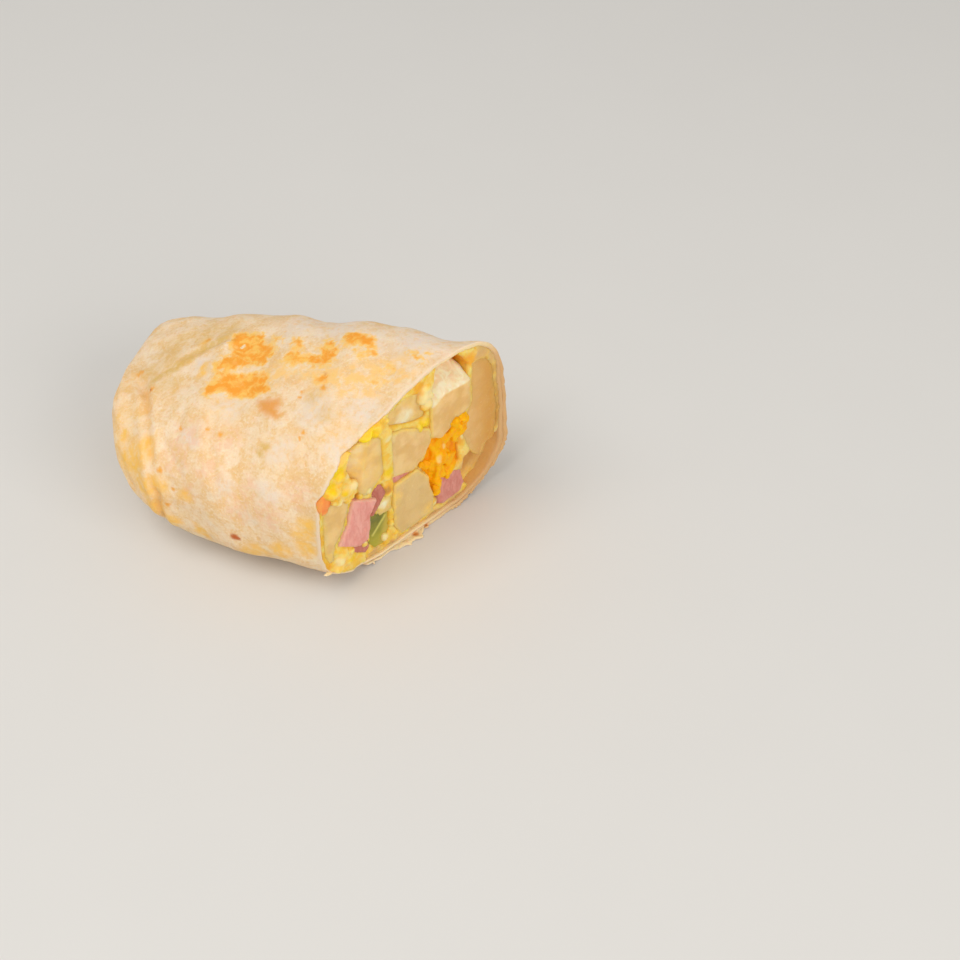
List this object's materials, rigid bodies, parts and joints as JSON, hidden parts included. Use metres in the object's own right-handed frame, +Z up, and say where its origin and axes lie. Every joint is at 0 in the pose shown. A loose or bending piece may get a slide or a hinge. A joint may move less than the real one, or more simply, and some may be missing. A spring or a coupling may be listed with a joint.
{
  "type": "half breakfast burrito",
  "caption": "Half of a flour-tortilla breakfast burrito, folded shut at one end and cut on the slant, showing egg, potato, ham, pepper and cheese.",
  "frame": {"origin": "on the resting face, under the middle of the roll", "axes": "+X along the roll from the folded end to the cut, +Y to the far side of the picture's view, +Z up"},
  "size_m": [0.1093, 0.0703, 0.0605],
  "materials": {
    "tortilla": "matt flour tortilla with golden toasted patches",
    "egg": "moist scrambled egg",
    "cheddar": "melted shreds with a soft sheen",
    "potato": "waxy cut potato",
    "ham": "moist cooked ham",
    "pepper_green": "cooked pepper, skin side glossy",
    "pepper_orange": "cooked pepper, glossy"
  },
  "bodies": {
    "root": {"tortilla": "tortilla", "egg": "egg", "cheddar": "cheddar", "potato_front": "potato", "potato_upper": "potato", "potato_middle": "potato", "potato_slice": "potato", "potato_lower": "potato", "potato_crown": "potato", "potato_far": "potato", "potato_small": "potato", "ham_front": "ham", "ham_middle": "ham", "ham_strip": "ham", "ham_low": "ham", "ham_far": "ham", "pepper_green": "pepper_green", "pepper_orange": "pepper_orange"}
  },
  "joints": []
}
